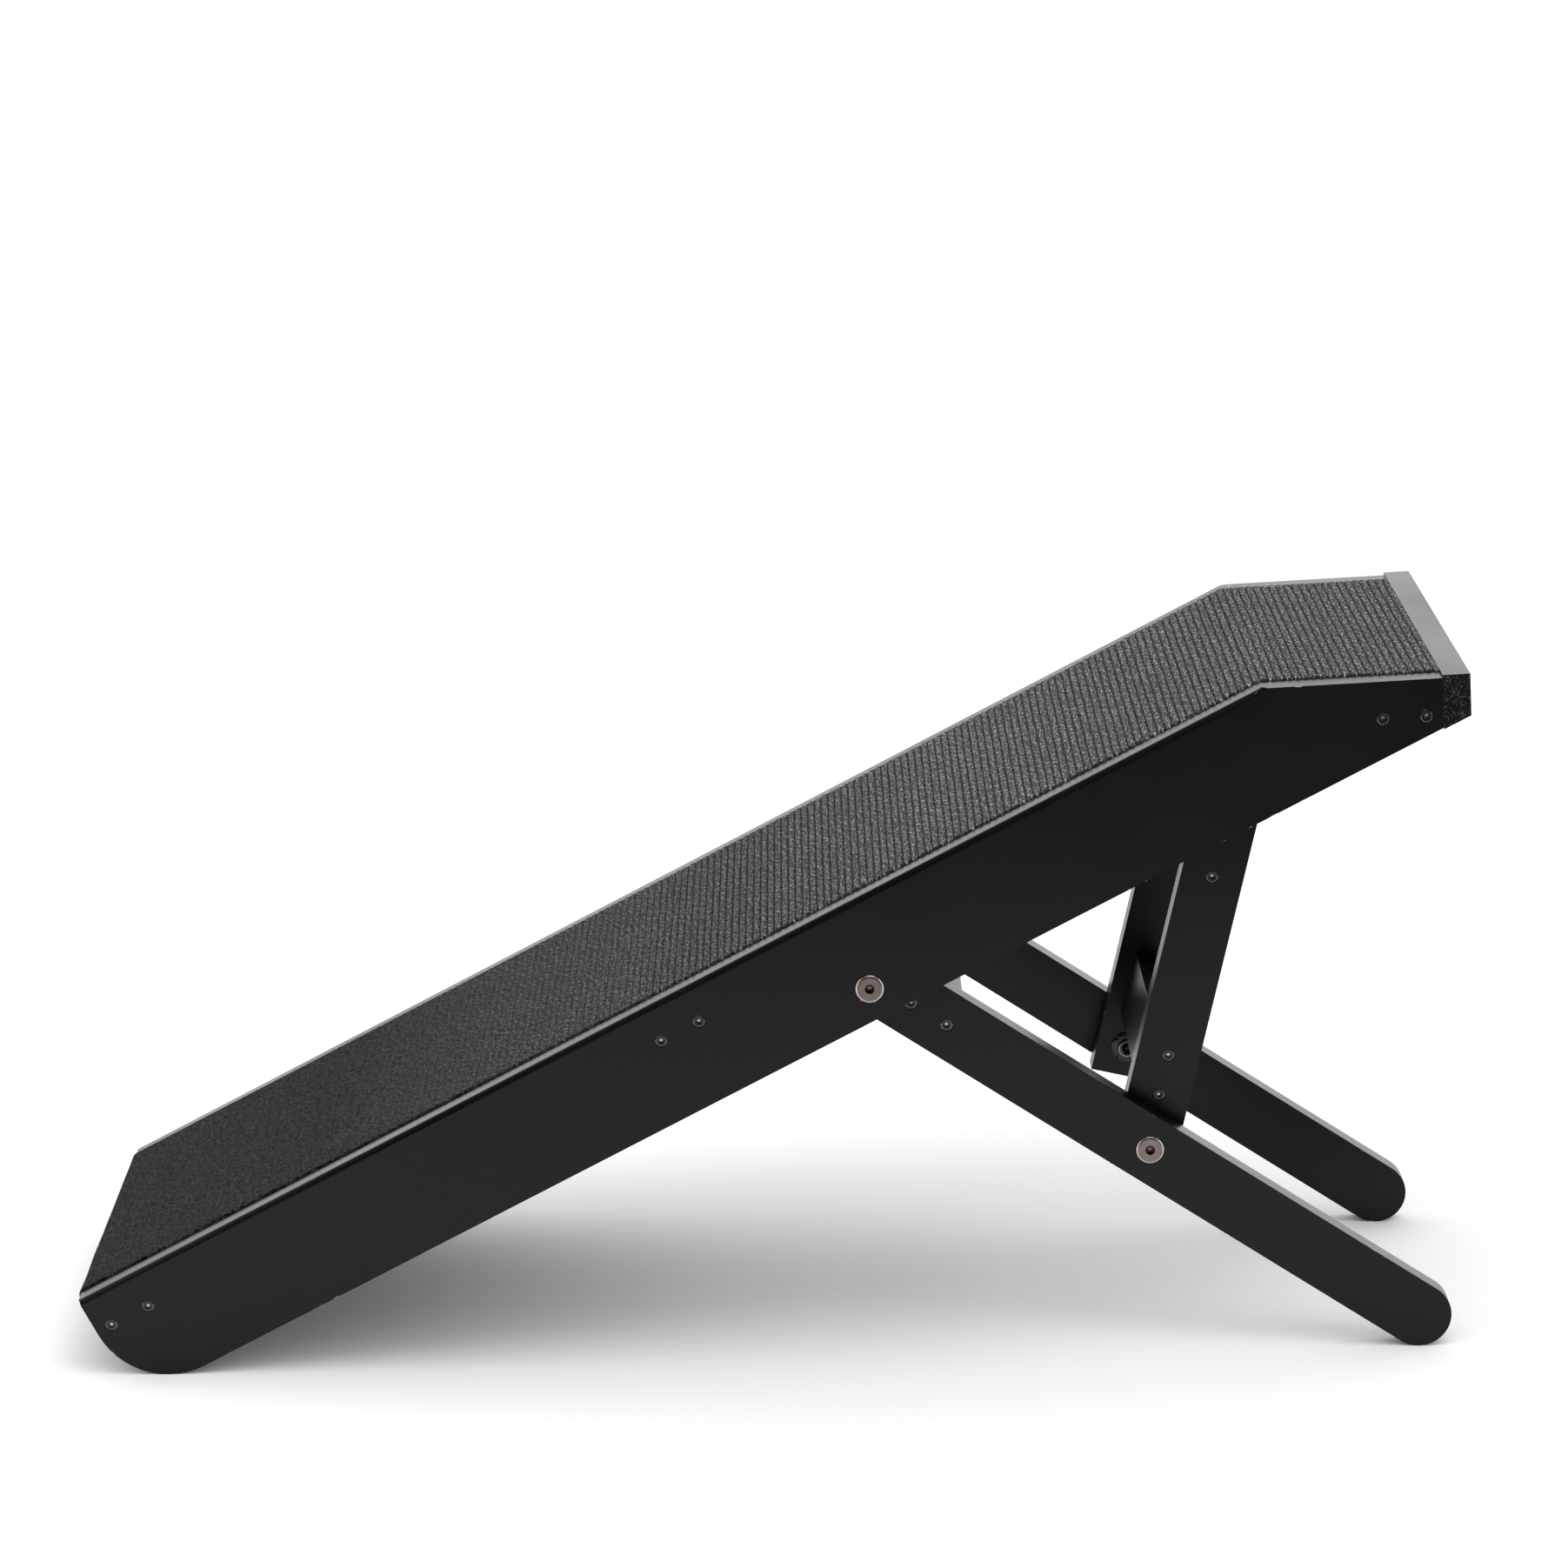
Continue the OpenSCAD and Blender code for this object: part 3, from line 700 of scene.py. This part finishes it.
def paint_wood():
    """Paints and softens the wooden pieces, with one paint for each direction of the grain."""
    paints = {}
    for name, grain in WOOD.items():
        if grain not in paints:
            paints[grain] = black_paint(f"black_paint_{len(paints)}", grain)
        obj = nodes[name]
        obj.material_slots[0].material = paints[grain]
        soften(obj, slope_edge(name) if name.startswith("side_rail") else ())


def finish_as_cut(part_of_name, material):
    """Keeps the CAD pieces with this in their names, softened and in this material."""
    for name, obj in nodes.items():
        if part_of_name in name:
            obj.material_slots[0].material = material
            soften(obj)


def make_screws(material):
    """Detailed screws in place of each node of them."""
    for name, obj in nodes.items():
        if name.endswith("_screws"):
            mesh = bmesh.new()
            for points in islands(name):
                place, length = fastener_place(points, SCREW_HEAD_R)
                screw(mesh, place, length)
            finished(mesh, name.replace("_screws", "_wood_screws"), material, obj["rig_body"],
                     "black_screws", name)


def make_bolts(material):
    """Detailed pivot bolts in place of the CAD ones."""
    for name, obj in nodes.items():
        if "_bolt_" in name:
            place, length = fastener_place(islands(name)[0], BOLT_FLAT_R)
            mesh = bmesh.new()
            pivot_bolt(mesh, length)
            finished(mesh, name.replace("bolt", "pivot_bolt"), material, obj["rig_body"],
                     "bronze_bolts", name, place=place)


def make_nuts(material):
    """Detailed nuts in place of the CAD ones, with their tops towards the ramp's middle."""
    for name, obj in nodes.items():
        if "_nut_" in name:
            low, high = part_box(name)
            inward = -1 if name.endswith("left") else 1
            y = high.y if inward < 0 else low.y
            foot = Vector(((low.x + high.x) / 2, y, (low.z + high.z) / 2))
            turn = Matrix.Rotation(math.radians(-90 * inward), 4, "X")
            place = Matrix.Translation(foot) @ turn
            mesh = bmesh.new()
            flange_nut(mesh, high.y - low.y)
            finished(mesh, name.replace("nut", "flange_nut"), material, obj["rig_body"],
                     "black_screws", name, place=place)


RIB_PITCH = 5.4 * MM
RIB_H = 0.85 * MM
RIB_ROWS = (0.0, 0.13, 0.35, 0.65, 0.87)     # where a rib's rows of points lie, as shares of its pitch
RIB_SQUARE = 3.5         # how square a rib is: its flanks fall off with this power
RIB_CREST = 1.05         # over 1 cuts the rib's crest flat
MAT_T = 2.5 * MM
MAT_GAP = 0.5 * MM       # from the mat's sides to the sides of its CAD piece
MAT_EDGE_R = 0.8 * MM
MAT_EDGE = np.array([0, 0.12, 0.35, 0.8, 1.8]) * MM      # columns of points on a rolled side edge
MAT_INNER = 3.6 * MM     # from there on the columns are evenly spaced
MAT_COLUMNS = 88
FINE_STEP = 0.2 * MM     # the path is smoothed at this spacing
SMOOTH_REACH = 7         # over this many steps to each side
FLAT_BELOW = 0.12        # the ribs grow from here up the path
FLAT_OVER = 0.4          # over this length
RIB_LEAST = 0.1          # the share of a rib's height at the low end
WILT_OVER = 0.06         # the low end lies a little uneven over this length
UNDERSIDE_SHADE = 0.7    # the underside's painted shade value, as a share of the one above it, so it is painted darker


def mat_path():
    """The mat's top line in the side view, from its low end up over the bend, in five rows to a rib."""
    loop = side_outline("grip_mat")
    start = min(range(len(loop)), key=lambda i: loop[i].y)
    loop = loop[start:] + loop[:start]
    end = max(range(len(loop)), key=lambda i: loop[i].y)
    one, other = loop[:end + 1], [loop[0]] + loop[:end - 1:-1]
    outer = np.array(min((one, other), key=lambda path: min(p.x for p in path)))
    lengths = np.linalg.norm(np.diff(outer, axis=0), axis=1)
    at = np.concatenate(([0], np.cumsum(lengths)))
    ribs = int(at[-1] / RIB_PITCH) + 1
    s = np.array([(k + part) * RIB_PITCH for k in range(ribs) for part in RIB_ROWS])
    s = np.append(s[s < at[-1] - 1.5 * FINE_STEP], at[-1])
    fine = np.arange(0, at[-1] + FINE_STEP / 2, FINE_STEP)
    kernel = np.hanning(2 * SMOOTH_REACH + 1)
    kernel /= kernel.sum()
    path = []
    for k in range(2):
        values = np.interp(fine, at, outer[:, k])
        first = 2 * values[0] - values[SMOOTH_REACH:0:-1]
        last = 2 * values[-1] - values[-2:-SMOOTH_REACH - 2:-1]
        smooth = np.convolve(np.concatenate((first, values, last)), kernel, "valid")
        path.append(np.interp(s, fine, smooth))
    return s, np.array(path).T


def mat_columns(half):
    """The y of each column of points over the mat, close together on its side edges."""
    inner = np.linspace(-half + MAT_INNER, half - MAT_INNER, MAT_COLUMNS)
    return np.concatenate((-half + MAT_EDGE, inner, (half - MAT_EDGE)[::-1]))


def mat_heights(s, columns, half):
    """How far each point of the mat's top lies below its path, and how light it is painted: lighter up
    its rib, with painted shade in the grooves and along the side edges.
    """
    across = np.abs(s / RIB_PITCH % 1 - 0.5) * 2
    rib = np.clip((1 - across ** RIB_SQUARE) * RIB_CREST, 0, 1)
    fade = RIB_LEAST + (1 - RIB_LEAST) * np.clip((s - FLAT_BELOW) / FLAT_OVER, 0, 1)
    gap = half - np.abs(columns)
    into_roll = np.clip(MAT_EDGE_R - gap, 0, None)
    roll = MAT_EDGE_R - np.sqrt(np.clip(MAT_EDGE_R ** 2 - into_roll ** 2, 0, None))
    down = np.zeros((len(s), len(columns)))
    rib_lift_and_shade = np.zeros_like(down)
    for i, at in enumerate(s):
        wilt = max(0.0, 1 - at / WILT_OVER)
        for j, y in enumerate(columns):
            wave = noise.noise((at * 14, y * 13, 3.0))
            bead = noise.noise((at * 420, y * 240, 7.0))
            sag = noise.noise((2.0, y * 22, 5.0)) * wilt
            uneven = 0.12 + 0.14 * wave - 0.05 * bead - 0.55 * sag
            down[i, j] = RIB_H * (1 - rib[i]) * fade[i] + uneven * MM + roll[j]
            # painted shade: the grooves between ribs, and near the low end a strip along each side
            # edge, are painted darker
            lift = 1 - fade[i] + fade[i] * rib[i]
            inside = min(1.0, max(0.0, gap[j] / (1.5 * MM) - 0.1))
            shaded = inside * (1 - fade[i]) + fade[i]
            rib_lift_and_shade[i, j] = min(1, max(0, lift + 0.1 * bead)) * shaded
    return down, rib_lift_and_shade


def make_mat(material):
    """The ribbed mat: ribs like laid cord, flatter towards the low end, with rolled side edges."""
    s, path = mat_path()
    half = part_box("grip_mat")[1].y - MAT_GAP
    columns = mat_columns(half)
    tangent = np.gradient(path, s, axis=0)
    tangent /= np.linalg.norm(tangent, axis=1)[:, None]
    normal = np.stack((-tangent[:, 1], tangent[:, 0]), 1)
    down, rib_lift_and_shade = mat_heights(s, columns, half)

    mesh = bmesh.new()
    relief_and_shade = mesh.verts.layers.float.new("relief_and_shade")
    spot = mesh.verts.layers.float_vector.new("spot")
    rows = []
    for i, at in enumerate(s):
        row = []
        for j, y in enumerate(columns):
            p = path[i] - normal[i] * down[i, j]
            v = mesh.verts.new((p[0], y, p[1]))
            v[relief_and_shade] = rib_lift_and_shade[i, j]
            v[spot] = (at, y, 0)
            row.append(v)
        base = path[i] - normal[i] * MAT_T
        for j in (-1, 0):
            y = columns[j]
            v = mesh.verts.new((base[0], y, base[1]))
            v[relief_and_shade] = UNDERSIDE_SHADE * rib_lift_and_shade[i, j]
            v[spot] = (at, y, 0)
            row.append(v)
        rows.append(row)
    join_loops(mesh, rows)
    mesh.faces.new(rows[0])
    mesh.faces.new(rows[-1][::-1])
    bake_places(mesh, spot, s[-1], half, len(columns))
    finished(mesh, "ribbed_grip_mat", material, "ramp", "grip_mat", "grip_mat", sharp=70)


BAKE_STRIPS = 3
BAKE_STRIPS_H = 0.9      # the share of the square's height that the strips take


def bake_places(mesh, spot, length, half, count):
    """Lays the mat's faces out for baking: the top in strips, and the other faces above them.

    The faces of each row start with the count - 1 on top, and the mesh's last two are its ends."""
    layer = mesh.loops.layers.uv.new("OFBake")
    ring = count + 2
    strip_h = BAKE_STRIPS_H / BAKE_STRIPS
    mesh.verts.index_update()
    for number, face in enumerate(mesh.faces):
        step = number % ring
        from_low_end = min(loop.vert[spot][0] for loop in face.loops) / length
        strip = min(BAKE_STRIPS - 1, int(from_low_end * BAKE_STRIPS))
        for loop in face.loops:
            at, y, _ = loop.vert[spot]
            share = (y + half) / (2 * half)
            column = loop.vert.index % ring
            if number >= len(mesh.faces) - 2:
                place = (0.1 + 0.8 * share, 0.985 + 0.01 * (column >= count))
            elif step < count - 1:
                u = at / length * BAKE_STRIPS - strip
                place = (0.01 + 0.96 * u, (strip + 0.02 + 0.96 * share) * strip_h)
            else:
                height = 0.91 + 0.02 * (step - count + 1)
                place = (at / length, height + 0.015 * (column in (step, 0)))
            loop[layer].uv = place


# ---------------------------------------------------------------- camera, light and floor

LENS = 115.0
SENSOR = 36.0
CAMERA_AT = (0.02118, -3.34596, 1.20526)
CAMERA_HEADING = 0.098       # degrees to the left of +Y
CAMERA_DOWN = 14.109         # degrees below level
CAMERA_ROLL = -0.687         # degrees


def make_camera():
    """The camera at the photograph's viewing angle."""
    data = bpy.data.cameras.new("camera")
    data.lens = LENS
    data.sensor_width = SENSOR
    camera = bpy.data.objects.new("camera", data)
    scene.collection.objects.link(camera)
    turn = Matrix.Identity(4)
    for degrees, axis in ((CAMERA_HEADING, "Z"), (90 - CAMERA_DOWN, "X"), (CAMERA_ROLL, "Z")):
        turn = turn @ Matrix.Rotation(math.radians(degrees), 4, axis)
    camera.matrix_world = Matrix.Translation(CAMERA_AT) @ turn
    scene.camera = camera


def panel(name, size, place, material, *hidden_from):
    """A flat stage piece, which isn't part of the object."""
    mesh = bmesh.new()
    bmesh.ops.create_grid(mesh, x_segments=1, y_segments=1, size=0.5)
    data = bpy.data.meshes.new(name)
    mesh.to_mesh(data)
    mesh.free()
    data.materials.append(material)
    obj = bpy.data.objects.new(name, data)
    scene.collection.objects.link(obj)
    obj.matrix_world = place @ Matrix.Diagonal((*size, 1, 1))
    for ray in hidden_from:
        setattr(obj, "visible_" + ray, False)


def glowing(name, strength):
    """A black surface with light of its own."""
    m = Nodes(name)
    m.shade(Base_Color=grey(0.0), Emission_Color=grey(1.0), Emission_Strength=strength)
    return m.material


def plain(name, value):
    """A dull, almost even surface for the stage."""
    m = Nodes(name)
    tone = m.noise(m.place(), scale=3.0)
    m.shade(Base_Color=m.mix(tone, grey(value * 0.99), grey(value)), Roughness=0.9)
    m.shader.inputs["Specular IOR Level"].default_value = 0.0
    return m.material


SKY_STRENGTH = 1.4
FLOOR_SIZE = 40
FLOOR_WHITE = 0.84
CARD_BLACK = 0.01
PANEL_STRENGTH = 1.85
KEY_SIZE = (1.2, 1.0)
KEY_AT = (0.3, -0.7, 2.0)
KEY_FACES_FROM = (0.1, -0.6, 2.0)    # the way that the key's back points
KEY_WATTS = 7


def light_scene():
    """A white floor under an even bright sky and a soft key light.

    Only reflections see the black cards and the bright panel."""
    scene.view_settings.view_transform = "Standard"
    world = bpy.data.worlds.new("studio")
    scene.world = world
    world.use_nodes = True
    sky = world.node_tree.nodes["Background"]
    sky.inputs["Color"].default_value = (1, 1, 1, 1)
    sky.inputs["Strength"].default_value = SKY_STRENGTH
    panel("floor", (FLOOR_SIZE, FLOOR_SIZE), Matrix.Identity(4), plain("floor_white", FLOOR_WHITE))

    card = plain("card_black", CARD_BLACK)
    light = glowing("panel_white", PANEL_STRENGTH)
    hidden = ("camera", "shadow", "diffuse", "transmission")
    upright = Matrix.Rotation(math.radians(90), 4, "X")
    panel("floor_card", (6, 3), Matrix.Translation((0, -2.8, 0.002)), card, *hidden)
    panel("front_card", (6, 2.6), Matrix.Translation((0, -2.3, 1.2)) @ upright, card, *hidden)
    panel("top_card", (6, 3.4), Matrix.Translation((0, -0.7, 2.7)), card, *hidden)
    panel("back_panel", (16, 5), Matrix.Translation((-0.5, 6, 2.6)) @ upright, light, *hidden)

    data = bpy.data.lights.new("key", "AREA")
    data.shape = "RECTANGLE"
    data.size, data.size_y = KEY_SIZE
    data.energy = KEY_WATTS
    key = bpy.data.objects.new("key", data)
    scene.collection.objects.link(key)
    turn = Vector(KEY_FACES_FROM).to_track_quat("Z", "Y").to_matrix().to_4x4()
    key.matrix_world = Matrix.Translation(KEY_AT) @ turn


make_camera()
light_scene()
paint_wood()
oxide = black_oxide()
make_screws(oxide)
make_nuts(oxide)
make_bolts(turned_bronze())
finish_as_cut("strut_rod", bright_zinc())
finish_as_cut("_spacer_", black_nylon())
make_mat(mat_rubber())
